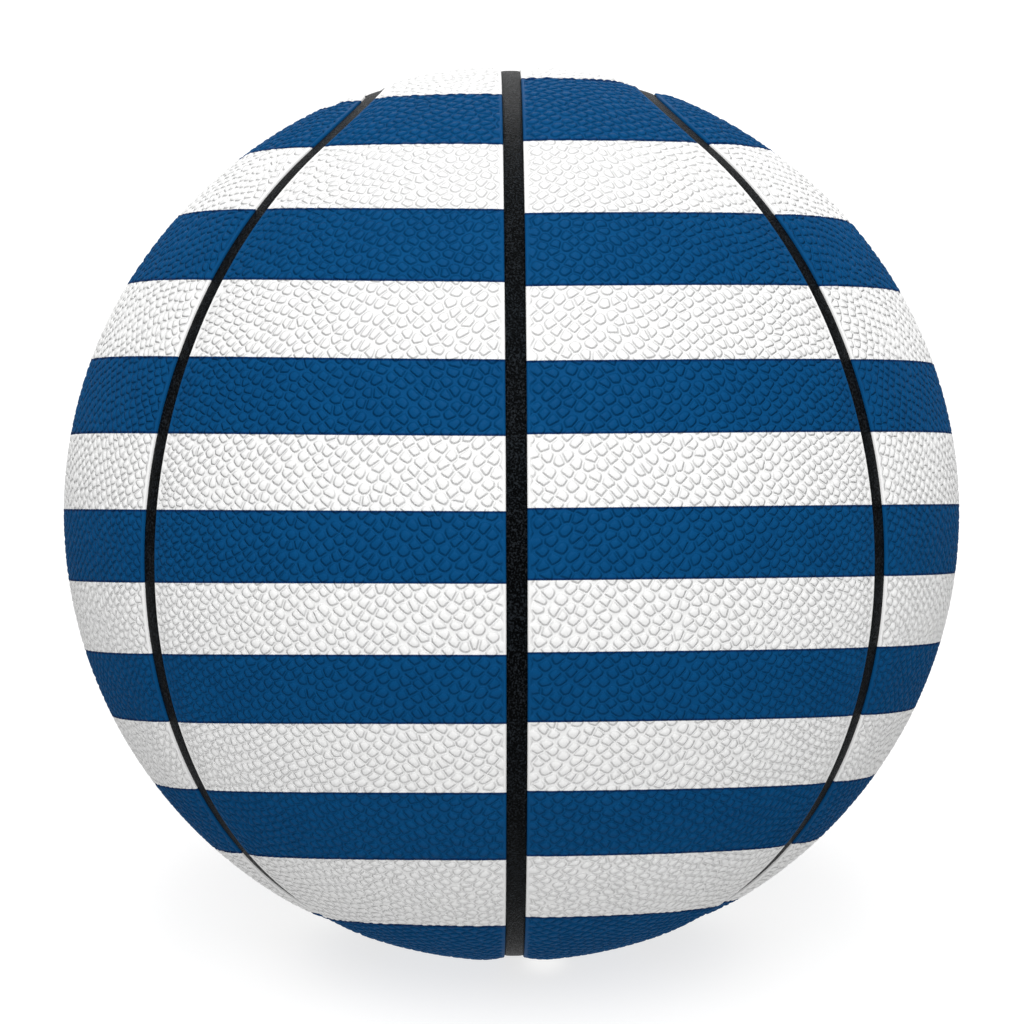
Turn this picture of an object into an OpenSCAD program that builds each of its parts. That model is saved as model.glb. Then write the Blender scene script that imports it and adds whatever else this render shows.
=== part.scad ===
// Basketball with eight cushioned cover panels on a wound carcass, black strips laid in the seams
// and a self-sealing needle valve at the back. Millimetres.
// The origin is the centre of the ball, +Z is up and -Y is the front. The long seam lies in the
// plane X = 0, the cross seam in Y = 0, and an oval seam loop goes round each of the two X poles.
// Every seam line is a circle or an arc about an axis through the centre, so one flat profile
// turned about that axis cuts the channel, and another one makes the strip that lies in it.

/* [Ball] */
// Outside diameter over the crowns of the panels
ball_d = 240; // [216:1:260]

/* [Cover panels] */
// Thickness of the cushioned cover at the crown of a panel
panel_t = 1.9; // [1.7:0.1:2.6]
// How far the skived edge of a panel lies below the crown
edge_drop = 1.0; // [0.4:0.1:1.1]
// Width over which a panel rolls down to its edge
edge_roll = 7.5; // [3:0.5:9]

/* [Seams] */
// Gap between two panels, measured along the surface
channel_w = 5.0; // [4:0.25:7]
// Thickness of the strip in the gap
strip_t = 0.5; // [0.3:0.05:0.6]
// Angle from the X pole to the side of a loop, at mid height
loop_half_w = 40.75; // [38:0.25:43]
// Angle from the X pole to the top of a loop
loop_half_h = 72.5; // [71:0.5:75]
// Angle from the X pole, on the far side, of the axis that a loop's long side turns about
loop_side = 45.5; // [44:0.5:47]

/* [Inner layers] */
// Moulded rubber carcass under the cover
carcass_t = 1.0; // [0.6:0.1:1.5]
// Layer of wound thread under the carcass
winding_t = 0.6; // [0.3:0.1:1.0]
// Inflated bladder
bladder_t = 0.8; // [0.6:0.1:1.2]

/* [Valve] */
// Angle of the valve from +X towards +Y, in the plane Z = 0
valve_turn = 66; // [62:1:70]
// Hole in the panel and the layers below it, where the neck of the boot comes through
valve_hole_d = 9; // [8:0.5:11]
// Flange that bonds the boot to the inside of the bladder
flange_d = 38; // [28:1:50]
// Depth of the boot from the outside of the ball
boot_l = 16; // [12:1:22]
// Needle passage in the plug
needle_d = 2.0; // [1.6:0.1:2.4]
// Length of the open part of the needle passage, below which the plug is only slit
needle_l = 13; // [8:1:14]

/* [Hidden] */
$fn = 220;
ball_r = ball_d / 2;
base_r = ball_r - panel_t;
winding_r = base_r - carcass_t;
bladder_r = winding_r - winding_t;
air_r = bladder_r - bladder_t;
// clearance drawn between pieces that are bonded or pressed together
fit_gap = 0.05;
// how far cutters run past the material
over = 1;

// colours
cover_c = "#0F4F86";
strip_c = "#1B1D20";
carcass_c = "#2B2A2C";
thread_c = "#D8D2C0";
bladder_c = "#3A3A3D";
valve_c = "#151517";

// seam loop: two long sides and two round ends, tangent where they meet
side_rho = loop_half_w + loop_side;
end_k = side_rho - loop_half_h;
end_el = atan2(cos(end_k) - cos(loop_side), sin(end_k));
end_rho = loop_half_h - end_el;
side_half = atan2(sin(end_el), cos(end_el) * sin(loop_side));
end_half = atan2(sin(loop_side), cos(loop_side) * sin(end_el));
// the long sides run a little way into the ends, which are wider by the lap
lap = 0.05;
lap_deg = 0.3;
// arc: azimuth and elevation of its axis, angle from the axis, middle and half span of the turn
front_side = [loop_side, 0, side_rho, 270, side_half];
back_side = [-loop_side, 0, side_rho, 90, side_half];
top_end = [0, end_el, end_rho, 180, end_half];
bottom_end = [0, -end_el, end_rho, 0, end_half];
long_seam = [0, 0, 90, 0, 180];
// the half of the long seam at the front and of the cross seam at the right, and a bit more
half_ring = 96;
long_front = [0, 0, 90, 270, half_ring];
cross_right = [90, 0, 90, 270, half_ring];
// the long seam where it crosses the cross seam
crossing_half = 10;
long_top = [0, 0, 90, 180, crossing_half];
long_bottom = [0, 0, 90, 0, crossing_half];
// steps along a long side and along an end when the loop is followed by points
side_steps = 8;
end_steps = 10;

// rolled panel edge: share of the drop that is left halfway along the roll, and how far the
// line of the roll runs on past the crown, along the surface and above it
roll_mid = 0.25;
roll_past = 0.2;
roll_clear = 0.1;

// strip, and the height of its eased upper edges
strip_half = channel_w / 2 - fit_gap;
strip_edge = 0.15;
// flats across the underside of a strip, which lie on the carcass
strip_flats = 4;
// how far the middle of such a flat comes nearer to the centre than its edges
strip_bow = pow(channel_w / strip_flats, 2) / (8 * base_r);

// valve boot: radii about its axis, and distances z from the centre of the ball along that axis
boot_hole_r = valve_hole_d / 2;
neck_r = boot_hole_r - fit_gap;
neck_sink = 0.5;
neck_z = ball_r - neck_sink;
flange_t = 1.2;
flange_rim_z = sqrt(pow(air_r - flange_t, 2) - pow(flange_d / 2, 2));
stem_flare = 1.4;
stem_root_r = neck_r + stem_flare;
stem_end_r = neck_r + stem_flare / 7;
boot_end_z = ball_r - boot_l;

// valve plug: wall of the neck round its head, step below the head, barb behind the boot
neck_wall = 1.0;
head_step = 0.9;
head_rise = 0.1;
head_r = neck_r - neck_wall;
head_t = 1.3;
head_z = neck_z + head_rise;
shaft_r = head_r - head_step;
barb_step = 1.0;
barb_r = shaft_r + barb_step;
barb_l = 5;
barb_tip_r = 1.6;
barb_z = boot_end_z - fit_gap;

// needle passage: open part, funnel at its mouth, and the slit below it
needle_r = needle_d / 2;
passage_z = head_z - needle_l;
lead_flare = 0.7;
lead_l = 0.8;
slit_w = 0.2;
slit_l = needle_d - slit_w;

// point of a profile, sideways from the seam line by u and at a distance r from the centre,
// for a seam line at the angle rho from the turning axis
function beside(rho, u, r) =
    let (v = sqrt(r * r - u * u))
    [v * sin(rho) + u * cos(rho), v * cos(rho) - u * sin(rho)];

// point on an arc at a turn about the arc's axis, in the frame of the ball
function arc_local(arc, t) = [sin(arc[2]) * cos(t), sin(arc[2]) * sin(t), cos(arc[2])];
function tip(v, el) = [v[0] * sin(el) + v[2] * cos(el), v[1], v[2] * sin(el) - v[0] * cos(el)];
function spin(v, az) = [v[0] * cos(az) - v[1] * sin(az), v[0] * sin(az) + v[1] * cos(az), v[2]];
function arc_point(arc, t) = spin(tip(arc_local(arc, t), arc[1]), arc[0]);
function arc_points(arc, n) = [
    for (i = [0 : n - 1]) arc_point(arc, arc[3] - arc[4] + 2 * arc[4] * i / n)
];

// turns a flat profile along an arc, past its ends by the given angle
module along(arc, past = 0) {
    whole = arc[4] >= 180;
    rotate([0, 90 - arc[1], arc[0]])
        rotate([0, 0, arc[3] - arc[4] - past])
            rotate_extrude(angle = whole ? 360 : 2 * (arc[4] + past))
                children();
}

// section of the channel between two panels, with the rolled panel edges on both sides
module channel_profile(rho, wider) {
    half = channel_w / 2 + wider;
    run_out = half + edge_roll * (1 + roll_past);
    flank = [
        [half, base_r - over - wider],
        [half, ball_r - edge_drop],
        [half + edge_roll / 2, ball_r - edge_drop * roll_mid],
        [run_out, ball_r + edge_drop * roll_clear],
        [run_out, ball_r + over + wider]
    ];
    polygon(concat(
        [for (p = flank) beside(rho, p[0], p[1])],
        [for (i = [len(flank) - 1 : -1 : 0]) beside(rho, -flank[i][0], flank[i][1])]
    ));
}

module channel(arc, wider = 0, past = 0) {
    along(arc, past)
        channel_profile(arc[2], wider);
}

// section of the strip in the channel, with eased upper edges and a foot on the carcass
module strip_profile(rho, wider) {
    half = strip_half + wider;
    ease = half - 2 * strip_edge;
    top = base_r + strip_t + wider / 2;
    foot = base_r + (lap - wider) / 2 + strip_bow;
    polygon(concat(
        [for (i = [0 : strip_flats]) beside(rho, -half + 2 * half * i / strip_flats, foot)],
        [
            beside(rho, half, top - strip_edge), beside(rho, ease, top),
            beside(rho, -ease, top), beside(rho, -half, top - strip_edge)
        ]
    ));
}

module strip(arc, wider = 0, past = 0) {
    along(arc, past)
        strip_profile(arc[2], wider);
}

module shell(outer, inner) {
    difference() {
        sphere(outer);
        sphere(inner);
    }
}

// cover before it is cut, turned so that the poles and the seam of its surfaces lie off the panel
module cover() {
    rotate([0, 90, 45])
        rotate([0, 0, 90])
            shell(ball_r, base_r);
}

module along_valve() {
    rotate([0, 90, valve_turn])
        children();
}

module valve_hole() {
    along_valve()
        cylinder(r = boot_hole_r, h = ball_d);
}

// cone from the centre through the line of the right loop; its faces stay inside the channel
module loop_core() {
    line = concat(
        arc_points(front_side, side_steps), arc_points(bottom_end, end_steps),
        arc_points(back_side, side_steps), arc_points(top_end, end_steps)
    );
    n = len(line);
    reach = 3 * ball_r;
    polyhedron(
        points = concat([[0, 0, 0], [reach, 0, 0]], reach * line),
        faces = concat(
            [for (i = [0 : n - 1]) [0, 2 + i, 2 + (i + 1) % n]],
            [for (i = [0 : n - 1]) [1, 2 + (i + 1) % n, 2 + i]]
        )
    );
}

// front half of the right loop as a channel
module loop_channel() {
    channel(front_side, past = lap_deg);
    channel(top_end, lap);
    channel(bottom_end, lap);
}

module front_right_quarter() {
    translate([0, -ball_d, -ball_d])
        cube([ball_d, ball_d, 2 * ball_d]);
}

// panel between the long seam and the right loop, at the front
module centre_panel() {
    difference() {
        difference() {
            difference() {
                intersection() {
                    cover();
                    front_right_quarter();
                }
                loop_core();
            }
            loop_channel();
        }
        channel(long_front);
        channel(cross_right);
    }
}

// panel inside the right loop, at the front
module side_panel() {
    difference() {
        difference() {
            intersection() {
                cover();
                front_right_quarter();
                loop_core();
            }
            loop_channel();
        }
        channel(cross_right);
    }
}

module loop_strip() {
    strip(front_side, past = lap_deg);
    strip(back_side, past = lap_deg);
    strip(top_end, lap);
    strip(bottom_end, lap);
}

// gap that the long strip and the loop strips leave in the cross seam
module crossing_gap(arc) {
    half = channel_w / 2 + lap;
    along(arc)
        polygon([
            beside(arc[2], half, base_r - over), beside(arc[2], half, ball_r + over),
            beside(arc[2], -half, ball_r + over), beside(arc[2], -half, base_r - over)
        ]);
}

// piece of strip in the cross seam between two angles up from +X
module cross_strip(from, to) {
    difference() {
        strip([90, 0, 90, 270 - (from + to) / 2, (to - from) / 2]);
        crossing_gap(long_top);
        crossing_gap(long_bottom);
        crossing_gap(top_end);
        crossing_gap(bottom_end);
    }
}

module inner_layer(outer, inner) {
    difference() {
        shell(outer, inner);
        valve_hole();
    }
}

module centre_panel_front_right() {
    color(cover_c)
        centre_panel();
}

module centre_panel_front_left() {
    color(cover_c)
        rotate([0, 180, 0])
            centre_panel();
}

module centre_panel_back_left() {
    color(cover_c)
        rotate([0, 0, 180])
            centre_panel();
}

module centre_panel_back_right() {
    color(cover_c)
        difference() {
            rotate([180, 0, 0])
                centre_panel();
            valve_hole();
        }
}

module side_panel_front_right() {
    color(cover_c)
        side_panel();
}

module side_panel_front_left() {
    color(cover_c)
        rotate([0, 180, 0])
            side_panel();
}

module side_panel_back_left() {
    color(cover_c)
        rotate([0, 0, 180])
            side_panel();
}

module side_panel_back_right() {
    color(cover_c)
        rotate([180, 0, 0])
            side_panel();
}

module long_seam_strip() {
    color(strip_c)
        strip(long_seam);
}

module loop_strip_right() {
    color(strip_c)
        loop_strip();
}

module loop_strip_left() {
    color(strip_c)
        rotate([0, 0, 180])
            loop_strip();
}

module cross_strip_right() {
    color(strip_c)
        cross_strip(-loop_half_h, loop_half_h);
}

module cross_strip_left() {
    color(strip_c)
        rotate([0, 0, 180])
            cross_strip(-loop_half_h, loop_half_h);
}

module bridge_strip_top_right() {
    color(strip_c)
        cross_strip(loop_half_h, 90);
}

module bridge_strip_top_left() {
    color(strip_c)
        rotate([0, 0, 180])
            cross_strip(loop_half_h, 90);
}

module bridge_strip_bottom_right() {
    color(strip_c)
        cross_strip(-90, -loop_half_h);
}

module bridge_strip_bottom_left() {
    color(strip_c)
        rotate([0, 0, 180])
            cross_strip(-90, -loop_half_h);
}

module carcass() {
    color(carcass_c)
        inner_layer(base_r, winding_r);
}

module thread_winding() {
    color(thread_c)
        inner_layer(winding_r, bladder_r);
}

module bladder() {
    color(bladder_c)
        inner_layer(bladder_r, air_r);
}

// rubber boot: neck through the layers, flange inside the bladder, stem towards the centre
module valve_boot() {
    color(valve_c)
        along_valve()
            rotate_extrude()
                difference() {
                    union() {
                        translate([0, air_r - flange_t])
                            square([neck_r, neck_z - air_r + flange_t]);
                        difference() {
                            intersection() {
                                circle(air_r);
                                translate([0, flange_rim_z - over])
                                    square([flange_d / 2, air_r]);
                            }
                            circle(air_r - flange_t);
                        }
                        polygon([
                            [0, boot_end_z], [stem_end_r, boot_end_z],
                            [stem_root_r, air_r - flange_t / 2], [0, air_r - flange_t / 2]
                        ]);
                    }
                    translate([0, boot_end_z - over])
                        square([shaft_r + fit_gap, boot_l + 2 * over]);
                    translate([0, head_z - head_t - fit_gap])
                        square([head_r + fit_gap, head_t + over]);
                }
}

// plug pressed into the boot: head, shaft, barb behind the boot's inner end, needle passage, slit
module valve_plug() {
    color(valve_c)
        along_valve()
            difference() {
                rotate_extrude()
                    polygon([
                        [0, barb_z - barb_l], [barb_tip_r, barb_z - barb_l], [barb_r, barb_z],
                        [shaft_r, barb_z], [shaft_r, head_z - head_t], [head_r, head_z - head_t],
                        [head_r, head_z], [0, head_z]
                    ]);
                translate([0, 0, passage_z])
                    cylinder(r = needle_r, h = needle_l + over);
                translate([0, 0, head_z - lead_l])
                    cylinder(r1 = needle_r, r2 = needle_r + lead_flare, h = lead_l);
                translate([-slit_w / 2, -slit_l / 2, barb_z - barb_l - over])
                    cube([slit_w, slit_l, passage_z - barb_z + barb_l + 2 * over]);
            }
}

centre_panel_front_left();
centre_panel_front_right();
centre_panel_back_left();
centre_panel_back_right();
side_panel_front_left();
side_panel_front_right();
side_panel_back_left();
side_panel_back_right();
long_seam_strip();
loop_strip_left();
loop_strip_right();
cross_strip_left();
cross_strip_right();
bridge_strip_top_left();
bridge_strip_top_right();
bridge_strip_bottom_left();
bridge_strip_bottom_right();
carcass();
thread_winding();
bladder();
valve_boot();
valve_plug();
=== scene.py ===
"""Basketball with a pebbled, striped cover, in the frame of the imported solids.

Metres, +Z up, -Y front, origin at the centre of the ball. The long seam lies in the plane X = 0,
the cross seam in Y = 0, and an oval seam loop goes round each X pole. Cover panels and seam strips
are surfaces worked out here; the layers inside and the valve are the solids themselves.
"""

import math

import bpy
import numpy as np
from mathutils import Matrix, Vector
from numpy.polynomial.polynomial import polyval


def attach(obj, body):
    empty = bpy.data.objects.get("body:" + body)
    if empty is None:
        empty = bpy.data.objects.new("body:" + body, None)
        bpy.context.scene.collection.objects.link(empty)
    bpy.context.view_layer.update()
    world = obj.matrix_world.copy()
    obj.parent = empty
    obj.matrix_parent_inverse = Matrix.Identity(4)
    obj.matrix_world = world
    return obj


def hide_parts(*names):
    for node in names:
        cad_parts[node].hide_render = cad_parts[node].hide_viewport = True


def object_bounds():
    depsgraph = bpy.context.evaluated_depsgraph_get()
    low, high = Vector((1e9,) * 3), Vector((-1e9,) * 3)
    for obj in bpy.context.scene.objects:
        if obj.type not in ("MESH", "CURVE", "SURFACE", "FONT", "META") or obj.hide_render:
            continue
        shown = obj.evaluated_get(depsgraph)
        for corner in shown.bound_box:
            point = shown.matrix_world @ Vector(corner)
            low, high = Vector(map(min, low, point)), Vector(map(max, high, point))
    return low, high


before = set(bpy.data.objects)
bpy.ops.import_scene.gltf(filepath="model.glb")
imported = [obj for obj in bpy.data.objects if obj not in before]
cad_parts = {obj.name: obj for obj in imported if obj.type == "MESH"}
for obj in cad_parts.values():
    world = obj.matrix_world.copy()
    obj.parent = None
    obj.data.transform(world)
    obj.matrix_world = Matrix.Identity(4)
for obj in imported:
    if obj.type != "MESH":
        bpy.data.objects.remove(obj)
cad_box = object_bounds()

MM = 0.001
TINY = 1e-9

# Ball and cover, the same sizes as the solids
BALL_R = 120 * MM
PANEL_T = 1.9 * MM
EDGE_DROP = 1.0 * MM
EDGE_ROLL = 7.5 * MM
CHANNEL_W = 5.0 * MM
STRIP_T = 0.5 * MM
STRIP_GAP = 0.05 * MM
BASE_R = BALL_R - PANEL_T
EDGE_R = BALL_R - EDGE_DROP
# Half of a channel's width as an angle
CHANNEL_TURN = CHANNEL_W / 2 / EDGE_R

# Seam loop: two long sides and two round ends about axes through the centre, tangent where they meet.
# First the angles from the X pole to a side, to the top and, on the far side, to a side's axis.
LOOP_HALF_W = math.radians(40.75)
LOOP_HALF_H = math.radians(72.5)
LOOP_SIDE = math.radians(45.5)
# Angle from the axis of a side to its arc, and the same for an end, whose axis lies END_EL up from +X
SIDE_RHO = LOOP_HALF_W + LOOP_SIDE
END_K = SIDE_RHO - LOOP_HALF_H
END_EL = math.atan2(math.cos(END_K) - math.cos(LOOP_SIDE), math.sin(END_K))
END_RHO = LOOP_HALF_H - END_EL
SIDE_AXIS = np.array([math.cos(LOOP_SIDE), math.sin(LOOP_SIDE), 0])
END_AXIS = np.array([math.cos(END_EL), 0, math.sin(END_EL)])

# Valve hole in one panel, and the block of the panel's grid that is drawn to a circle round it: half its
# side in grid steps, and how many times wider the block is that fades out to the untouched grid
VALVE_PANEL = ("centre", "back_right")
VALVE_TURN = math.radians(66)
VALVE_HOLE_R = 4.5 * MM
VALVE_DIR = np.array([math.cos(VALVE_TURN), math.sin(VALVE_TURN), 0])
HOLE_HALF = 8
HOLE_FADE = 3.2

# Grid of a panel: rows and columns, and the places of the finer steps that round its lip, as shares of
# the length for rows and of the width for columns
CENTRE_ROWS = 556
CENTRE_COLUMNS = 164
CENTRE_LIP_ROWS = (0.0004, 0.0009)
SIDE_ROWS = 500
SIDE_COLUMNS = 150
SIDE_LIP_ROWS = (0.0003, 0.0008)
LIP_COLUMNS = (0.0015, 0.0035)
# Side panel: width at its blunt corners, and the share of even steps in the spread of its rows
SIDE_TIP = 3 * MM
SIDE_EVEN = 0.65
# Steps of the coarser grid on the underside
UNDER_ROWS = 36
UNDER_COLUMNS = 12

# Pebbles: spacing along a panel, and how many times wider it is across
PEBBLE_PITCH = 2.6 * MM
PEBBLE_WIDER = 1.1
# Angle across a panel where the spacing along it is true
PEBBLE_MIDDLE = {"centre": math.radians(24), "side": math.radians(18)}
# Height of the pebbles in the mesh, and of the sharper flanks that the material adds to them
PEBBLE_RISE = 0.4 * MM
PEBBLE_BUMP = 0.48 * MM
# In units of the spacing: how far a pebble moves off its square, its largest radius, the softness of
# its corners, and the width of its flanks in the mesh and in the material
PEBBLE_JITTER = 0.5
PEBBLE_ROUND = 0.62
PEBBLE_BLEND = 0.2
PEBBLE_SWELL = 0.36
PEBBLE_FLANK = 0.22
# Slant of the rows of pebbles, and a wave in them: its height in pebbles and its rates in radians a pebble
PEBBLE_TURN = math.radians(45)
WAVE_HEIGHT = 0.3
WAVE_ALONG = 0.7
WAVE_ACROSS = 0.6
# How far the pattern moves on from one quarter to the next, in pebbles, and the share of that for the
# side panel of a quarter
PLACE_STEP = np.array([40, -25])
SIDE_PLACE = 0.37
# Steps in which the drawn-in width of a panel is added up
WIDTH_STEPS = 200
# Smooth rim along a panel's edge, the width over which pebbles rise from it, and the radius of its lip
RIM_W = 0.5 * MM
RIM_FADE = 1.0 * MM
LIP_R = 0.35 * MM
# Edges that turn by more than this stay sharp
SHARP_TURN = math.radians(62)
# Corners of a face that faces the other way, from the same first corner
OTHER_WAY = [0, 3, 2, 1]

# Seam strips: half width as an angle, places across the profile, and how far and how steeply its edges fall
STRIP_TURN = CHANNEL_TURN - STRIP_GAP / EDGE_R
STRIP_ACROSS = np.array([-1, -0.97, -0.9, -0.75, -0.4, 0, 0.4, 0.75, 0.9, 0.97, 1])
STRIP_CROWN = 0.2 * MM
CROWN_POWER = 6
# Points along the long seam, a side and an end of a loop, and the cross seam within a loop and above it
LONG_POINTS = 720
LOOP_POINTS = (190, 90)
CROSS_POINTS = 240
BRIDGE_POINTS = 24

# View of the photograph
VIEW_AZ = math.radians(0.6)
VIEW_EL = math.radians(10.9)
VIEW_ROLL = math.radians(-0.12)
VIEW_FAR = 7 * BALL_R
VIEW_NEAR = 0.01
VIEW_SENSOR = 36
VIEW_LENS = 109.1
VIEW_SHIFT = (0.0005, 0.00127)

# Stripes: planes that the photograph sees edge on, counted upwards from an edge near the middle.
# The count is a polynomial of the height s, plus lean |x| and bend s x^2, with lengths in STRIPE_UNIT.
# The pairs are for the left and the right half of the ball.
STRIPE_UP = np.array([0, math.sin(VIEW_EL), math.cos(VIEW_EL)])
STRIPE_UNIT = 100 * MM
STRIPES_LEFT = (-0.028, 5.832, -0.531, -0.292, 0.447, 0.157)
STRIPES_RIGHT = (-0.072, 5.894, -0.189, -0.216)
STRIPE_LEAN = (-0.048, -0.031)
STRIPE_BEND = (-0.439, -0.319)
# Width of a stripe in millimetres, near enough to measure distances from its edge
STRIPE_PITCH = 17.1
# Sine of the angle between stripe and ball over which edges change from the smooth round to a straight cut
STRIPE_STEEP = (0.25, 0.6)

# Leather: size and height of its grain, roughness in the valleys and on the crowns, weak gloss
LEATHER_GRAIN = 0.4 * MM
GRAIN_RISE = 0.02 * MM
LEATHER_ROUGH = (0.62, 0.46)
LEATHER_GLOSS = 0.02
# Ink: how far its edge wanders and how soft it is, the dark line inside the edge and its softness, all in
# millimetres, and the size of the clouds in it
INK_WANDER = 0.06
INK_SOFT = 0.05
LINE_W = 0.45
LINE_SOFT = 0.2
INK_CLOUD = 9 * MM

# Rubber: size of the bloom and how much of it goes into the specks, the part of the specks' value that
# turns from dark to pale (pale specks on the sand grains are painted glints), and the part of the grain
# over which roughness falls between two shares of its value
BLOOM_SIZE = 12 * MM
BLOOM_SHARE = 0.1
GLINT_AND_BLOOM_SPAN = (0.54, 0.7)
GRAIN_SPAN = (0.35, 0.65)
ROUGH_SPAN = (1.5, 0.7)

# Thread: spacing, height, and the turns of the three windings. A wave texture of scale 1 repeats WAVE_RATE
# times in a length of tau.
THREAD_PITCH = 1.2 * MM
THREAD_RISE = 0.2 * MM
THREAD_ROUGH = 0.5
THREAD_TURNS = ((0.3, 0.2, 0.0), (1.4, 0.5, 0.9), (0.6, 1.3, 2.1))
WAVE_RATE = 20

# Floor: radius, where it starts to rise, rings and points round each, its own glow, and the rate of its
# clouds over a metre
FLOOR_R = 12.0
FLOOR_FLAT = 4.0
FLOOR_RINGS = 40
FLOOR_POINTS = 96
FLOOR_GLOW = 0.75
FLOOR_ROUGH = 0.9
FLOOR_CLOUDS = 3.0

# Light: the even sky, and broad lights as lean from straight above to the front, breadth and strength
SKY = 0.51
LIGHTS = {
    "key": (math.radians(10), math.radians(26), 0.78),
    "front": (math.radians(45), math.radians(40), 2.1),
    "low": (math.radians(150), math.radians(40), 0.65),
    "back": (math.radians(-50), math.radians(40), 0.6),
}

# Quarters of the ball as half turns of the front right one
QUARTERS = {
    "front_right": (1, 1, 1),
    "front_left": (-1, 1, -1),
    "back_left": (-1, -1, 1),
    "back_right": (1, -1, -1),
}
# The quarter whose half turn puts each bridge strip in its place
BRIDGES = {
    "top_right": "front_right",
    "bottom_left": "front_left",
    "top_left": "back_left",
    "bottom_right": "back_right",
}


def smoothstep(lo, hi, x):
    """Rises from 0 at lo to 1 at hi with level ends."""
    t = np.clip((x - lo) / (hi - lo), 0, 1)
    return t * t * (3 - 2 * t)


def cell_hash(*keys):
    """Mixes two or three whole numbers, held as floats, to one from 0 to 1, as the shader's cells do."""
    all_ones = 0xFFFFFFFF
    bits = [np.ascontiguousarray(k, np.float32).view(np.uint32) for k in keys]

    def turned(v, s):
        return (v << np.uint32(s)) | (v >> np.uint32(32 - s))

    start = np.uint32((0xDEADBEEF + (len(bits) << 2) + 13) & all_ones)
    a, b, c = (np.full(bits[0].shape, start) for _ in range(3))
    a = a + bits[0]
    b = b + bits[1]
    if len(bits) > 2:
        c = c + bits[2]
    for s1, s2, s3 in ((14, 11, 25), (16, 4, 14)):
        c = (c ^ b) - turned(b, s1)
        a = (a ^ c) - turned(c, s2)
        b = (b ^ a) - turned(a, s3)
    c = (c ^ b) - turned(b, 24)
    return c / all_ones


def pebble(uv):
    """Height of the pebbles from 0 to 1: a swell up from the outline of each.

    One seed lies in each unit square of the flat map, moved by a hash of the square. A pebble's
    outline is the line halfway to each neighbouring seed, cut by a circle to round its corners.
    The two distances are joined by a smooth minimum.
    """
    square = np.floor(uv)
    inside = uv - square
    seeds = []
    for step in [(i, j) for j in (-1, 0, 1) for i in (-1, 0, 1)]:
        i, j = (square + step).T
        moved = np.stack([cell_hash(i, j), cell_hash(i, j, np.ones(len(i)))], 1)
        seeds.append(moved * PEBBLE_JITTER + step - inside)
    seeds = np.stack(seeds)
    far = np.linalg.norm(seeds, axis=2)
    nearest = np.take_along_axis(seeds, far.argmin(0)[None, :, None], 0)
    apart = seeds - nearest
    gap = np.linalg.norm(apart, axis=2)
    border = ((seeds + nearest) / 2 * apart).sum(2) / np.maximum(gap, TINY)
    border = np.where(gap > TINY, border, np.inf).min(0)
    circle = PEBBLE_ROUND - far.min(0)
    blend = np.maximum(PEBBLE_BLEND - np.abs(border - circle), 0) / PEBBLE_BLEND
    return smoothstep(0, PEBBLE_SWELL, np.minimum(border, circle) - blend ** 3 * PEBBLE_BLEND / 6)


def turn_to(a, b, c, way):
    """The angle x with a sin x + b cos x = c, on the near side (-1) or the far side (1) of the peak."""
    return np.arctan2(a, b) + way * np.arccos(np.clip(c / np.hypot(a, b), -1, 1))


def loop_joint(aside):
    """Point where a side and an end of the loop meet, for a line moved aside by an angle."""
    across = END_AXIS - SIDE_AXIS * (END_AXIS @ SIDE_AXIS)
    across /= np.linalg.norm(across)
    return math.cos(SIDE_RHO + aside) * SIDE_AXIS + math.sin(SIDE_RHO + aside) * across


def finer_ends(n, steps):
    """n even steps from 0 to 1, with the first and the last one divided at the given places."""
    return np.unique(np.concatenate([np.linspace(0, 1, n + 1), steps, 1 - np.asarray(steps)]))


def centre_grid():
    """Directions of the centre panel of the front right quarter.

    A row is an arc towards +X at an angle round the X axis, from the long seam to the loop. Its
    length follows the loop: the arc's end lies on a circle about the loop's side or end axis. The
    first and the last row follow the cross seam, and the others are spread evenly between them.
    """
    up = (finer_ends(CENTRE_ROWS, CENTRE_LIP_ROWS) * 2 - 1)[:, None]
    over = finer_ends(CENTRE_COLUMNS, LIP_COLUMNS)[None, :]
    start = CHANNEL_TURN
    top = math.pi / 2 - LOOP_HALF_H - CHANNEL_TURN
    stop = np.arccos(math.sin(CHANNEL_TURN) / np.cos(start + over * (top - start)))
    round_x = up * stop
    tilt = np.abs(round_x)
    at = loop_joint(CHANNEL_TURN)
    side = turn_to(
        math.cos(LOOP_SIDE), -np.cos(tilt) * math.sin(LOOP_SIDE), math.cos(SIDE_RHO + CHANNEL_TURN), -1
    )
    end = turn_to(
        math.cos(END_EL), np.sin(tilt) * math.sin(END_EL), math.cos(END_RHO + CHANNEL_TURN), -1
    )
    reach = np.where(tilt < math.atan2(at[2], -at[1]), side, end)
    to_x = start + over * (reach - start)
    return np.stack([np.sin(to_x), -np.cos(to_x) * np.cos(round_x), np.cos(to_x) * np.sin(round_x)], -1)


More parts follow.
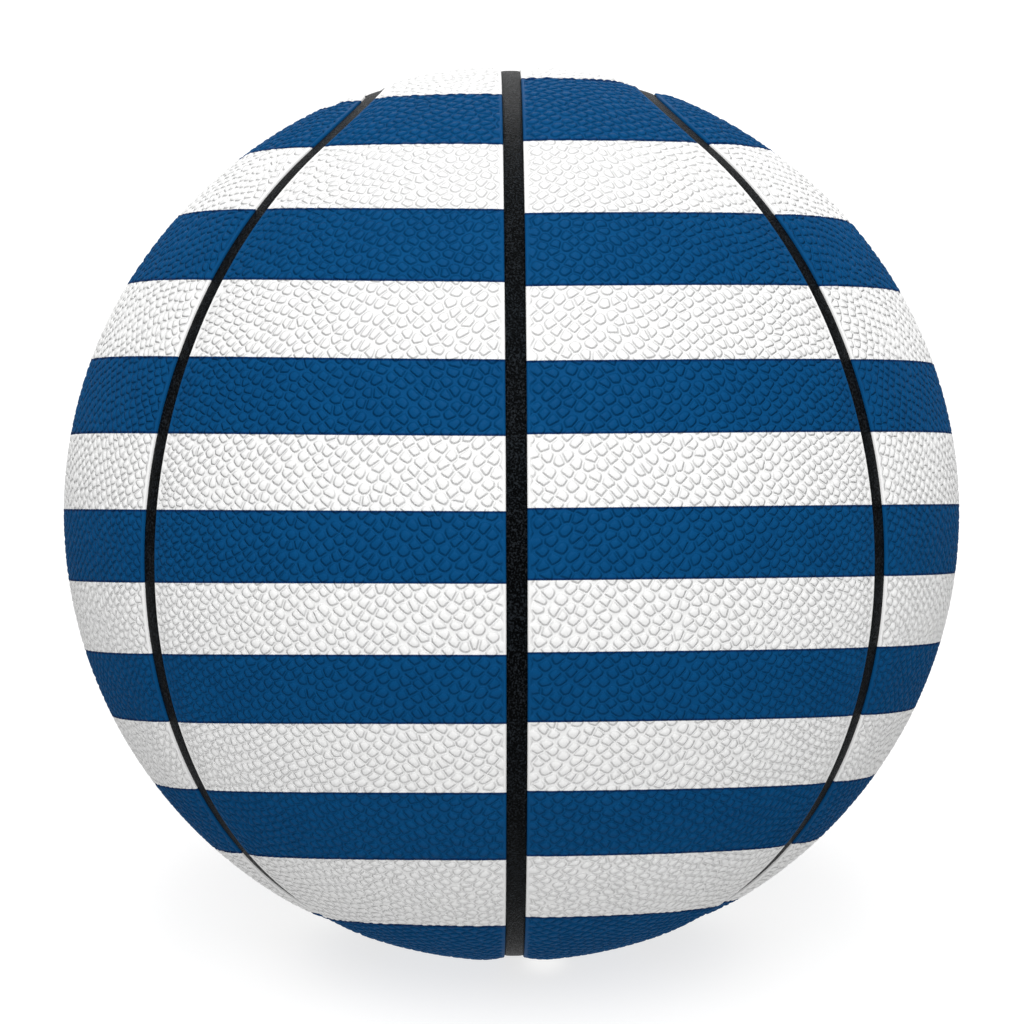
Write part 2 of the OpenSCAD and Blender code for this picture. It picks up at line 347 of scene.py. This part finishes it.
def side_grid():
    """Directions of the side panel of the front right quarter.

    A row is an arc from the loop towards the cross seam, at an angle up from +X. The rows lie
    closer together towards the two corners, where they run out.
    """
    t = finer_ends(SIDE_ROWS, SIDE_LIP_ROWS) * 2 - 1
    corner = CHANNEL_TURN + SIDE_TIP / EDGE_R
    half = END_EL + math.acos(math.cos(END_RHO - CHANNEL_TURN) / math.cos(corner))
    up = (half * (SIDE_EVEN * t + (1 - SIDE_EVEN) * np.sin(t * math.pi / 2)))[:, None]
    over = finer_ends(SIDE_COLUMNS, LIP_COLUMNS)[None, :]
    tilt = np.abs(up)
    at = loop_joint(-CHANNEL_TURN)
    side = turn_to(
        -math.sin(LOOP_SIDE), np.cos(tilt) * math.cos(LOOP_SIDE), math.cos(SIDE_RHO - CHANNEL_TURN), 1
    )
    end = turn_to(0, np.cos(tilt - END_EL), math.cos(END_RHO - CHANNEL_TURN), 1)
    reach = np.where(tilt < math.atan2(at[2], at[0]), side, end)
    to_front = reach + over * (CHANNEL_TURN - reach)
    return np.stack([np.cos(to_front) * np.cos(up), -np.sin(to_front), np.cos(to_front) * np.sin(up)], -1)


def flat_map(kind, p, place):
    """Flat coordinates in pebbles: length along the panel by width across it, turned and waved a little.

    The length is the angle round the X axis on a centre panel and up from +X on a side panel. The
    width is the angle towards +X or towards the front. Lengths shorten with the cosine of the angle
    across, so the width is drawn in by half of that.
    """
    x, y, z = np.moveaxis(p, -1, 0)
    along = np.arctan2(z, -y if kind == "centre" else x)
    across = np.arcsin(x if kind == "centre" else -y)
    true_at = math.cos(PEBBLE_MIDDLE[kind])
    width = np.linspace(0, across.max(), WIDTH_STEPS)
    step = np.sqrt(true_at / np.cos(width))
    drawn = np.concatenate([[0], np.cumsum((step[1:] + step[:-1]) / 2 * np.diff(width))])
    a = along * true_at * BALL_R / PEBBLE_PITCH
    b = np.interp(across, width, drawn) * BALL_R / PEBBLE_PITCH / PEBBLE_WIDER
    wave_a = WAVE_HEIGHT * np.sin(b * WAVE_ALONG + place)
    wave_b = WAVE_HEIGHT * np.sin(a * WAVE_ACROSS - place)
    a = a + wave_a
    b = b + wave_b
    u = a * math.cos(PEBBLE_TURN) - b * math.sin(PEBBLE_TURN)
    v = a * math.sin(PEBBLE_TURN) + b * math.cos(PEBBLE_TURN)
    return np.stack([u, v], -1) + PLACE_STEP * place


def seam_distances(p):
    """Distances along the surface from the seams' edges to the directions p of the front right quarter."""
    high = np.abs(p) * [1, 0, 1] + p * [0, 1, 0]
    beyond = high @ np.cross(SIDE_AXIS, END_AXIS) < 0
    to_side = np.abs(np.arccos(np.clip(high @ SIDE_AXIS, -1, 1)) - SIDE_RHO)
    to_end = np.abs(np.arccos(np.clip(high @ END_AXIS, -1, 1)) - END_RHO)
    loop = np.where(beyond, to_end, to_side)
    turns = np.stack([np.arcsin(np.abs(p[..., 0])), np.arcsin(np.abs(p[..., 1])), loop])
    return np.maximum(turns * EDGE_R - CHANNEL_W / 2, 0)


def relief(p, uv, hole):
    """Depths below the crown of the ball's round and of the pebbles' valleys, and where there are pebbles.

    The round rolls down with a square curve of the distance to each seam, and ends in a lip of its
    own radius at every edge. Pebbles fade in from a smooth rim.
    """
    edges = seam_distances(p)
    roll = EDGE_DROP * np.clip(1 - edges / EDGE_ROLL, 0, 1) ** 2
    nearest = edges.min(0)
    if hole is not None:
        nearest = np.minimum(nearest, np.arccos(np.clip(p @ hole, -1, 1)) * BALL_R - VALVE_HOLE_R)
    lip = np.maximum(LIP_R - np.maximum(nearest, 0), 0)
    drop = (roll ** 4).sum(0) ** 0.25 + LIP_R - np.sqrt(LIP_R ** 2 - lip ** 2)
    rim = smoothstep(RIM_W, RIM_W + RIM_FADE, nearest)
    height = pebble(uv.reshape(-1, 2)).reshape(rim.shape)
    return drop, PEBBLE_RISE * (1 - height) * rim, rim


def stripe_ink(p, round_r, sunk):
    """Distance in millimetres to the nearest stripe edge, positive in the blue.

    The count of stripes is a polynomial of the height, one for each half of the ball, with two
    small terms for the bend towards the sides. Each odd stripe is blue. Edges cut straight through
    the pebbles, but where the stripes lie nearly flat on the ball they follow its smooth round.
    """
    steep = np.sqrt(np.maximum(1 - (p @ STRIPE_UP) ** 2, 0))
    p = p * (round_r - sunk * smoothstep(*STRIPE_STEEP, steep))[..., None]
    s = p @ STRIPE_UP / STRIPE_UNIT
    x = p[..., 0] / STRIPE_UNIT
    half = (x > 0).astype(int)
    level = np.where(x > 0, polyval(s, STRIPES_RIGHT), polyval(s, STRIPES_LEFT))
    count = level + np.take(STRIPE_LEAN, half) * np.abs(x) + np.take(STRIPE_BEND, half) * s * x ** 2
    return (0.5 - np.abs(np.mod(count - 0.5, 2) - 1)) * STRIPE_PITCH


def round_hole(p, hole, block):
    """Draws a block of the grid round its centre to a circle, and fades out to the untouched grid."""
    i = np.arange(p.shape[0])[:, None] - block[0]
    j = np.arange(p.shape[1])[None, :] - block[1]
    out = np.maximum(np.abs(i), np.abs(j)).astype(float)
    flat = p - hole * (p @ hole)[..., None]
    away = np.linalg.norm(flat, axis=-1, keepdims=True)
    reach = VALVE_HOLE_R / BALL_R * np.maximum(out, HOLE_HALF) / HOLE_HALF
    circle = flat / np.maximum(away, TINY) * reach[..., None]
    share = smoothstep(HOLE_HALF, HOLE_HALF * HOLE_FADE, out)[..., None]
    moved = circle * (1 - share) + flat * share
    moved = moved + hole * np.sqrt(np.maximum(1 - (moved ** 2).sum(-1, keepdims=True), 0))
    near = (out <= HOLE_HALF * HOLE_FADE) & (p @ hole > 0)
    return np.where(near[..., None], moved, p)


def block_ring(rows, columns):
    """Row and column numbers round a block, the way that its faces go round."""
    (i0, i1), (j0, j1) = rows, columns
    wide = j1 - j0
    high = i1 - i0
    i = [np.full(wide, i0), np.arange(i0, i1), np.full(wide, i1), np.arange(i1, i0, -1)]
    j = [np.arange(j0, j1), np.full(high, j1), np.arange(j1, j0, -1), np.full(high, j0)]
    return np.concatenate(i), np.concatenate(j)


def grid_quads(rows):
    """Faces between neighbouring rows and columns of point numbers."""
    return np.stack([rows[:-1, :-1], rows[:-1, 1:], rows[1:, 1:], rows[1:, :-1]], -1)


def band(outer, inner):
    """Faces between two rings of points that go round the same way."""
    return np.stack([np.roll(outer, -1), outer, inner, np.roll(inner, -1)], 1)


def zipper(ring, mates):
    """Triangles from each step of a ring to its mate on a coarser ring, and between changes of mate."""
    step = np.stack([np.roll(ring, -1), ring, mates], 1)
    before = np.roll(mates, 1)
    change = np.stack([ring, before, mates], 1)
    return np.concatenate([step, change[before != mates]])


def inner_line(k, n, steps):
    """Coarse line, not on the border, that lies nearest to the middle of each step round a ring."""
    middle = (k + np.roll(k, -1)) / 2
    return np.clip((middle / (n - 1) * steps).round().astype(int), 1, steps - 1)


def panel_faces(n, m, block):
    """Faces of a closed panel: an n by m grid of points, and a second layer of points under it.

    The top is the whole grid, less the block of the valve hole. Walls go down at every edge. The
    underside is a coarser grid that keeps off the edges, joined to the foot of the walls by triangles.
    """
    index = np.arange(n * m).reshape(n, m)
    top = grid_quads(index)
    keep_top = np.ones(top.shape[:2], bool)
    coarse_i = np.linspace(0, n - 1, UNDER_ROWS + 1).round().astype(int)
    coarse_j = np.linspace(0, m - 1, UNDER_COLUMNS + 1).round().astype(int)
    under = n * m + index[coarse_i][:, coarse_j]
    plain = grid_quads(under[1:-1, 1:-1])[..., OTHER_WAY]
    keep_plain = np.ones(plain.shape[:2], bool)
    i, j = block_ring((0, n - 1), (0, m - 1))
    edge = index[i, j]
    mates = under[inner_line(i, n, UNDER_ROWS), inner_line(j, m, UNDER_COLUMNS)]
    faces = [band(edge, edge + n * m), zipper(edge + n * m, mates)]
    if block is not None:
        (i0, j0), (i1, j1) = np.subtract(block, HOLE_HALF), np.add(block, HOLE_HALF)
        keep_top[i0:i1, j0:j1] = False
        edge = index[block_ring((i0, i1), (j0, j1))][::-1]
        a0, a1 = np.searchsorted(coarse_i, (i0, i1)) - (1, 0)
        b0, b1 = np.searchsorted(coarse_j, (j0, j1)) - (1, 0)
        keep_plain[a0 - 1:a1 - 1, b0 - 1:b1 - 1] = False
        around = under[block_ring((a0, a1), (b0, b1))][::-1]
        mates = around[np.arange(len(edge)) * len(around) // len(edge)]
        faces += [band(edge, edge + n * m), zipper(edge + n * m, mates)]
    return faces + [plain[keep_plain], top[keep_top]]


def make_mesh(name, verts, faces, uv=None, values=None):
    """A smooth mesh from arrays of points and of quads and triangles, with a flat map and point values."""
    used, where = np.unique(np.concatenate([f.ravel() for f in faces]), return_inverse=True)
    sizes = np.concatenate([np.full(len(f), f.shape[1]) for f in faces])
    mesh = bpy.data.meshes.new(name)
    mesh.vertices.add(len(used))
    mesh.vertices.foreach_set("co", verts[used].astype(np.float32).ravel())
    mesh.loops.add(len(where))
    mesh.loops.foreach_set("vertex_index", where.astype(np.int32))
    mesh.polygons.add(len(sizes))
    mesh.polygons.foreach_set("loop_start", (np.cumsum(sizes) - sizes).astype(np.int32))
    mesh.update(calc_edges=True)
    mesh.polygons.foreach_set("use_smooth", np.ones(len(sizes), bool))
    if uv is not None:
        layer = mesh.uv_layers.new(name="pebbles")
        layer.uv.foreach_set("vector", uv[used][where].astype(np.float32).ravel())
    for key, value in (values or {}).items():
        attribute = mesh.attributes.new(key, "FLOAT", "POINT")
        attribute.data.foreach_set("value", value[used].astype(np.float32))
    mesh.set_sharp_from_angle(angle=SHARP_TURN)
    piece = bpy.data.objects.new(name, mesh)
    bpy.context.scene.collection.objects.link(piece)
    return piece


def cover_panel(kind, quarter, place):
    """A closed cover panel: pebbled face with rolled edges, walls down to the carcass, plain underside.

    The radius of the face is that of the ball less the relief: the roll and lip of the edges, and
    the height that the pebbles lack.
    """
    p = centre_grid() if kind == "centre" else side_grid()
    sign = np.array(QUARTERS[quarter])
    hole = None
    block = None
    if (kind, quarter) == VALVE_PANEL:
        hole = VALVE_DIR * sign
        block = np.unravel_index(np.argmax(p @ hole), p.shape[:2])
        p = round_hole(p, hole, block)
    uv = flat_map(kind, p, place)
    drop, sunk, rim = relief(p, uv, hole)
    ink = stripe_ink(p * sign, BALL_R - drop, sunk)
    face = p * (BALL_R - drop - sunk)[..., None]
    verts = np.concatenate([face.reshape(-1, 3), (p * BASE_R).reshape(-1, 3)])
    return make_mesh(
        f"cover_{kind}_{quarter}", verts * sign, panel_faces(*rim.shape, block),
        uv=np.tile(uv.reshape(-1, 2), (2, 1)),
        values={"rim": np.append(rim, 0 * rim), "ink": np.append(ink, ink)}
    )


def arc(axis, start, stop, n):
    """Points of a circle about an axis, from one point of it to another, and the way towards the axis."""
    lean = start @ axis
    first = (start - axis * lean) / math.sqrt(1 - lean ** 2)
    second = np.cross(axis, first)
    turn = np.linspace(0, math.atan2(stop @ second, stop @ first), n, endpoint=False)[:, None]
    p = lean * axis + math.sqrt(1 - lean ** 2) * (np.cos(turn) * first + np.sin(turn) * second)
    return p, (axis - lean * p) / math.sqrt(1 - lean ** 2)


def widened(p, across):
    """Rows of directions across a strip: each point of its path turned to both sides by half its width."""
    w = (STRIP_TURN * STRIP_ACROSS)[None, :, None]
    return np.cos(w) * p[:, None] + np.sin(w) * across[:, None]


def long_ring():
    """The long seam: a full circle round the ball in the plane X = 0."""
    turn = np.linspace(0, math.tau, LONG_POINTS, endpoint=False)
    p = np.stack([0 * turn, np.cos(turn), np.sin(turn)], 1)
    return widened(p, 0 * p + [1, 0, 0])


def loop_ring():
    """The right seam loop: front side, top end, back side and bottom end, one after the other."""
    joint = loop_joint(0)
    corners = [joint * s for s in ([1, 1, -1], [1, 1, 1], [1, -1, 1], [1, -1, -1])]
    axes = [SIDE_AXIS, END_AXIS, SIDE_AXIS * [1, -1, 1], END_AXIS * [1, 1, -1]]
    arcs = [arc(axes[k], corners[k], corners[(k + 1) % 4], LOOP_POINTS[k % 2]) for k in range(4)]
    return widened(np.concatenate([a[0] for a in arcs]), np.concatenate([a[1] for a in arcs]))


def cross_rows(inside):
    """The cross seam on the right, within the loop or from the loop's top to the long seam.

    Each line along it ends where it meets the neighbour's edge, so the ends follow the curves.
    """
    w = (STRIP_TURN * STRIP_ACROSS)[None, :]
    gap = STRIP_TURN + 2 * STRIP_GAP / EDGE_R
    if inside:
        high = END_EL + np.arccos(math.cos(END_RHO - gap) / np.cos(w))
        low = -high
    else:
        high = np.arccos(math.sin(gap) / np.cos(w))
        low = END_EL + np.arccos(math.cos(END_RHO + gap) / np.cos(w))
    share = np.linspace(0, 1, CROSS_POINTS if inside else BRIDGE_POINTS)[:, None]
    up = low + share * (high - low)
    return np.stack([np.cos(w) * np.cos(up), -np.sin(w) + 0 * up, np.cos(w) * np.sin(up)], -1)


def seam_strip(name, p, sign, closed):
    """A strip of rubber in its channel: a crowned top that falls to its edges, walls, plain underside."""
    p = p * sign
    outward = np.cross(p[0, 1] - p[0, 0], p[1, 0] - p[0, 0]) @ p[0, 0]
    p = p if outward > 0 else p[:, ::-1]
    top = BASE_R + STRIP_T - STRIP_CROWN * STRIP_ACROSS ** CROWN_POWER
    n, m = p.shape[:2]
    index = np.arange(n * m).reshape(n, m)
    quads = grid_quads(np.concatenate([index, index[:1]]) if closed else index).reshape(-1, 4)
    rings = [index[::-1, 0], index[:, -1]] if closed else [index[block_ring((0, n - 1), (0, m - 1))]]
    verts = np.concatenate([(p * top[:, None]).reshape(-1, 3), (p * BASE_R).reshape(-1, 3)])
    faces = [quads, quads[:, ::-1] + n * m] + [band(ring, ring + n * m) for ring in rings]
    return make_mesh(name, verts, faces)


def srgb(code):
    """Linear colour of an sRGB hex code."""
    c = np.array([int(code[k:k + 2], 16) for k in (1, 3, 5)]) / 255
    return (*np.where(c > 0.04045, ((c + 0.055) / 1.055) ** 2.4, c / 12.92), 1)


def set_sockets(tree, node, sockets):
    """Gives each named socket of a node a value, or a link from another node's output."""
    for key, value in sockets.items():
        if isinstance(value, bpy.types.NodeSocket):
            tree.links.new(value, node.inputs[key])
        else:
            node.inputs[key].default_value = value


def add(tree, kind, sockets=None, **settings):
    """Adds a node with its settings, values and links."""
    node = tree.nodes.new(kind)
    for key, value in settings.items():
        setattr(node, key, value)
    set_sockets(tree, node, sockets or {})
    return node


def new_material(name):
    """A material with nothing in it but its output and its shader, and the coordinates of the object."""
    material = bpy.data.materials.new(name)
    material.use_nodes = True
    tree = material.node_tree
    place = add(tree, "ShaderNodeTexCoord").outputs["Object"]
    return material, tree, tree.nodes["Principled BSDF"], place


def cover_leather():
    """Composite leather, hot pressed with pebbles and printed: soft sheen, ink darker at its borders."""
    material, tree, shader, place = new_material("printed_pebbled_composite_leather")
    uv = add(tree, "ShaderNodeUVMap", uv_map="pebbles").outputs["UV"]
    look = {"Vector": uv, "Scale": 1.0, "Randomness": PEBBLE_JITTER}
    seed = add(tree, "ShaderNodeTexVoronoi", look, voronoi_dimensions="2D")
    border = add(tree, "ShaderNodeTexVoronoi", look, voronoi_dimensions="2D", feature="DISTANCE_TO_EDGE")
    circle = add(tree, "ShaderNodeMath", {
        0: PEBBLE_ROUND, 1: seed.outputs["Distance"]
    }, operation="SUBTRACT")
    inside = add(tree, "ShaderNodeMath", {
        0: border.outputs["Distance"], 1: circle.outputs["Value"], 2: PEBBLE_BLEND
    }, operation="SMOOTH_MIN")
    flank = add(tree, "ShaderNodeMapRange", {
        "Value": inside.outputs["Value"], "From Min": 0.0, "From Max": PEBBLE_FLANK
    }, interpolation_type="SMOOTHSTEP")
    rim = add(tree, "ShaderNodeAttribute", attribute_name="rim")
    raised = add(tree, "ShaderNodeMix", {
        "Factor": rim.outputs["Fac"], "A": 1.0, "B": flank.outputs["Result"]
    })
    grain = add(tree, "ShaderNodeTexNoise", {"Vector": place, "Scale": 1 / LEATHER_GRAIN, "Detail": 3.0})
    pressed = add(tree, "ShaderNodeBump", {"Height": raised.outputs["Result"], "Distance": PEBBLE_BUMP})
    skin = add(tree, "ShaderNodeBump", {
        "Height": grain.outputs["Fac"], "Distance": GRAIN_RISE, "Normal": pressed.outputs["Normal"]
    })
    # Ink: a sharp edge that wanders a little over the grain, a dark line inside it, and cloudy cover
    ink = add(tree, "ShaderNodeAttribute", attribute_name="ink").outputs["Fac"]
    wander = add(tree, "ShaderNodeMath", {
        0: grain.outputs["Fac"], 1: INK_WANDER, 2: ink
    }, operation="MULTIPLY_ADD")
    mask = add(tree, "ShaderNodeMapRange", {
        "Value": wander.outputs["Value"],
        "From Min": INK_WANDER / 2 - INK_SOFT, "From Max": INK_WANDER / 2 + INK_SOFT
    })
    inner = add(tree, "ShaderNodeMapRange", {
        "Value": wander.outputs["Value"], "From Min": LINE_W, "From Max": LINE_W + LINE_SOFT
    })
    cloud = add(tree, "ShaderNodeTexNoise", {"Vector": place, "Scale": 1 / INK_CLOUD, "Detail": 2.0})
    blue = add(tree, "ShaderNodeMix", {
        "Factor": cloud.outputs["Fac"], "A": srgb("#07416f"), "B": srgb("#094979")
    }, data_type="RGBA")
    lined = add(tree, "ShaderNodeMix", {
        "Factor": inner.outputs["Result"], "A": srgb("#062d59"), "B": blue.outputs["Result"]
    }, data_type="RGBA")
    white = add(tree, "ShaderNodeMix", {
        "Factor": cloud.outputs["Fac"], "A": srgb("#e9e9e9"), "B": srgb("#eeeeed")
    }, data_type="RGBA")
    printed = add(tree, "ShaderNodeMix", {
        "Factor": mask.outputs["Result"], "A": white.outputs["Result"], "B": lined.outputs["Result"]
    }, data_type="RGBA")
    rough = add(tree, "ShaderNodeMapRange", {
        "Value": raised.outputs["Result"], "To Min": LEATHER_ROUGH[0], "To Max": LEATHER_ROUGH[1]
    })
    set_sockets(tree, shader, {
        "Base Color": printed.outputs["Result"], "Roughness": rough.outputs["Result"],
        "Normal": skin.outputs["Normal"], "Specular IOR Level": LEATHER_GLOSS
    })
    return material


def moulded_rubber(name, dark, pale, grain_size, rise, roughness, gloss):
    """Moulded rubber: nearly matt, with the fine sand of its mould, painted glints as pale specks on its
    grains, and a faint bloom in patches.
    """
    material, tree, shader, place = new_material(name)
    sand = add(tree, "ShaderNodeTexNoise", {"Vector": place, "Scale": 1 / grain_size, "Detail": 4.0})
    bloom = add(tree, "ShaderNodeTexNoise", {"Vector": place, "Scale": 1 / BLOOM_SIZE, "Detail": 3.0})
    # Specks: pale on the sand grains as painted glints, with a little of the real bloom mixed in
    glints_and_bloom = add(tree, "ShaderNodeMath", {
        0: bloom.outputs["Fac"], 1: BLOOM_SHARE, 2: sand.outputs["Fac"]
    }, operation="MULTIPLY_ADD")
    share = add(tree, "ShaderNodeMapRange", {
        "Value": glints_and_bloom.outputs["Value"], "From Min": GLINT_AND_BLOOM_SPAN[0], "From Max": GLINT_AND_BLOOM_SPAN[1]
    })
    colour = add(tree, "ShaderNodeMix", {
        "Factor": share.outputs["Result"], "A": srgb(dark), "B": srgb(pale)
    }, data_type="RGBA")
    skin = add(tree, "ShaderNodeBump", {"Height": sand.outputs["Fac"], "Distance": rise})
    rough = add(tree, "ShaderNodeMapRange", {
        "Value": sand.outputs["Fac"], "From Min": GRAIN_SPAN[0], "From Max": GRAIN_SPAN[1],
        "To Min": roughness * ROUGH_SPAN[0], "To Max": roughness * ROUGH_SPAN[1]
    })
    set_sockets(tree, shader, {
        "Base Color": colour.outputs["Result"], "Roughness": rough.outputs["Result"],
        "Normal": skin.outputs["Normal"], "Specular IOR Level": gloss, "Specular Tint": srgb("#e7f6ff")
    })
    return material


def wound_nylon():
    """Nylon thread wound round and round and soaked with latex: crossing bundles of pale glossy lines."""
    material, tree, shader, place = new_material("wound_nylon_thread")
    lines = []
    for turn in THREAD_TURNS:
        turned = add(tree, "ShaderNodeMapping", {"Vector": place, "Rotation": turn})
        lines.append(add(tree, "ShaderNodeTexWave", {
            "Vector": turned.outputs["Vector"], "Scale": math.tau / (WAVE_RATE * THREAD_PITCH),
            "Distortion": 1.5, "Detail": 2.0
        }, wave_type="BANDS", bands_direction="X").outputs["Fac"])
    pair = add(tree, "ShaderNodeMath", {0: lines[0], 1: lines[1]}, operation="MAXIMUM")
    laid = add(tree, "ShaderNodeMath", {0: pair.outputs["Value"], 1: lines[2]}, operation="MAXIMUM")
    colour = add(tree, "ShaderNodeMix", {
        "Factor": laid.outputs["Value"], "A": srgb("#b5a688"), "B": srgb("#e9e2d0")
    }, data_type="RGBA")
    skin = add(tree, "ShaderNodeBump", {"Height": laid.outputs["Value"], "Distance": THREAD_RISE})
    set_sockets(tree, shader, {
        "Base Color": colour.outputs["Result"], "Roughness": THREAD_ROUGH, "Normal": skin.outputs["Normal"]
    })
    return material


def opal_acrylic():
    """Opal acrylic sheet lit from behind: pale and matt, with a glow of its own that thins out shadows."""
    material, tree, shader, place = new_material("backlit_opal_acrylic")
    cloud = add(tree, "ShaderNodeTexNoise", {"Vector": place, "Scale": FLOOR_CLOUDS, "Detail": 2.0})
    colour = add(tree, "ShaderNodeMix", {
        "Factor": cloud.outputs["Fac"], "A": srgb("#959595"), "B": srgb("#9a9a9a")
    }, data_type="RGBA")
    set_sockets(tree, shader, {
        "Base Color": colour.outputs["Result"], "Roughness": FLOOR_ROUGH, "Specular IOR Level": 0.0,
        "Emission Color": srgb("#ffffff"), "Emission Strength": FLOOR_GLOW
    })
    return material


def plain_floor(low):
    """A wide pale sheet under the ball that curves up far away.

    Each ring of the sheet is a circle; from FLOOR_FLAT outwards the rings rise with a square curve.
    Like a light table it lets light through to the ball from below, so only the camera sees it.
    """
    r = np.linspace(0, FLOOR_R, FLOOR_RINGS + 1)[1:, None]
    turn = np.linspace(0, math.tau, FLOOR_POINTS, endpoint=False)[None, :]
    z = low + np.maximum(r - FLOOR_FLAT, 0) ** 2 / (FLOOR_R - FLOOR_FLAT) + 0 * turn
    rings = np.stack([r * np.cos(turn), r * np.sin(turn), z], -1)
    verts = np.concatenate([rings.reshape(-1, 3), [[0, 0, low]]])
    index = np.arange(z.size).reshape(z.shape)
    rows = np.concatenate([index, index[:, :1]], 1)
    quads = grid_quads(rows)[..., OTHER_WAY].reshape(-1, 4)
    middle = np.stack([rows[0, :-1], rows[0, 1:], np.full(FLOOR_POINTS, z.size)], 1)
    floor = make_mesh("floor", verts, [quads, middle])
    floor.data.materials.append(opal_acrylic())
    floor.visible_diffuse = False
    floor.visible_glossy = False
    floor.visible_shadow = False


def studio_sky():
    """Even white light from all round."""
    world = bpy.data.worlds.new("studio")
    world.use_nodes = True
    background = world.node_tree.nodes["Background"]
    set_sockets(world.node_tree, background, {"Color": srgb("#ffffff"), "Strength": SKY})
    bpy.context.scene.world = world


def soft_light(name, lean, spread, strength):
    """Even light from a broad patch of the sky, turned from straight above towards the front."""
    light = bpy.data.lights.new(name, "SUN")
    light.angle = spread
    light.energy = strength
    lamp = bpy.data.objects.new(name, light)
    bpy.context.scene.collection.objects.link(lamp)
    lamp.rotation_euler = (lean, 0, 0)


def photo_camera():
    """The photograph's view: seven radii away, a little left of the long seam and above the middle."""
    camera = bpy.data.objects.new("camera", bpy.data.cameras.new("camera"))
    bpy.context.scene.collection.objects.link(camera)
    turn = Matrix.Rotation(-VIEW_AZ, 3, "Z") @ Matrix.Rotation(math.pi / 2 - VIEW_EL, 3, "X")
    turn = turn @ Matrix.Rotation(VIEW_ROLL, 3, "Z")
    camera.matrix_world = turn.to_4x4()
    camera.location = turn.col[2] * VIEW_FAR
    camera.data.sensor_width = VIEW_SENSOR
    camera.data.lens = VIEW_LENS
    camera.data.shift_x = VIEW_SHIFT[0]
    camera.data.shift_y = VIEW_SHIFT[1]
    camera.data.clip_start = VIEW_NEAR
    bpy.context.scene.camera = camera


leather = cover_leather()
for place, quarter in enumerate(QUARTERS):
    for kind in ("centre", "side"):
        panel = cover_panel(kind, quarter, place + SIDE_PLACE * (kind == "side"))
        panel.data.materials.append(leather)
        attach(panel, "root")
        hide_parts(f"{kind}_panel_{quarter}")

# The pale colour here is the painted glints: specks on the strip's sand grains that stand in for light
seam_rubber = moulded_rubber(
    "moulded_black_seam_rubber", "#000000", "#202428", 0.45 * MM, 0.3 * MM, roughness=0.3, gloss=0.03
)
strips = [
    ("long_seam_strip", long_ring(), (1, 1, 1), True),
    ("loop_strip_right", loop_ring(), (1, 1, 1), True),
    ("loop_strip_left", loop_ring(), (-1, -1, 1), True),
    ("cross_strip_right", cross_rows(True), (1, 1, 1), False),
    ("cross_strip_left", cross_rows(True), (-1, -1, 1), False),
]
strips += [(f"bridge_strip_{k}", cross_rows(False), QUARTERS[q], False) for k, q in BRIDGES.items()]
for node, p, sign, closed in strips:
    strip = seam_strip(f"rubber_{node}", p, np.array(sign), closed)
    strip.data.materials.append(seam_rubber)
    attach(strip, "root")
    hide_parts(node)

inner_materials = {
    "carcass": moulded_rubber(
        "sheeted_carcass_rubber", "#2a2724", "#3a3632", 0.4 * MM, 0.05 * MM, roughness=0.6, gloss=0.3
    ),
    "thread_winding": wound_nylon(),
    "bladder": moulded_rubber(
        "cured_butyl_rubber", "#151515", "#222222", 0.3 * MM, 0.02 * MM, roughness=0.4, gloss=0.4
    ),
    "valve_boot": moulded_rubber(
        "moulded_boot_rubber", "#121212", "#1d1d1d", 0.2 * MM, 0.02 * MM, roughness=0.5, gloss=0.3
    ),
    "valve_plug": moulded_rubber(
        "soft_plug_rubber", "#1c1c1c", "#292929", 0.2 * MM, 0.02 * MM, roughness=0.5, gloss=0.3
    ),
}
for node, material in inner_materials.items():
    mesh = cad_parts[node].data
    mesh.materials.clear()
    mesh.materials.append(material)

plain_floor(cad_box[0][2])
studio_sky()
bpy.context.scene.view_settings.view_transform = "Standard"
for name, (lean, spread, strength) in LIGHTS.items():
    soft_light(name, lean, spread, strength)
photo_camera()
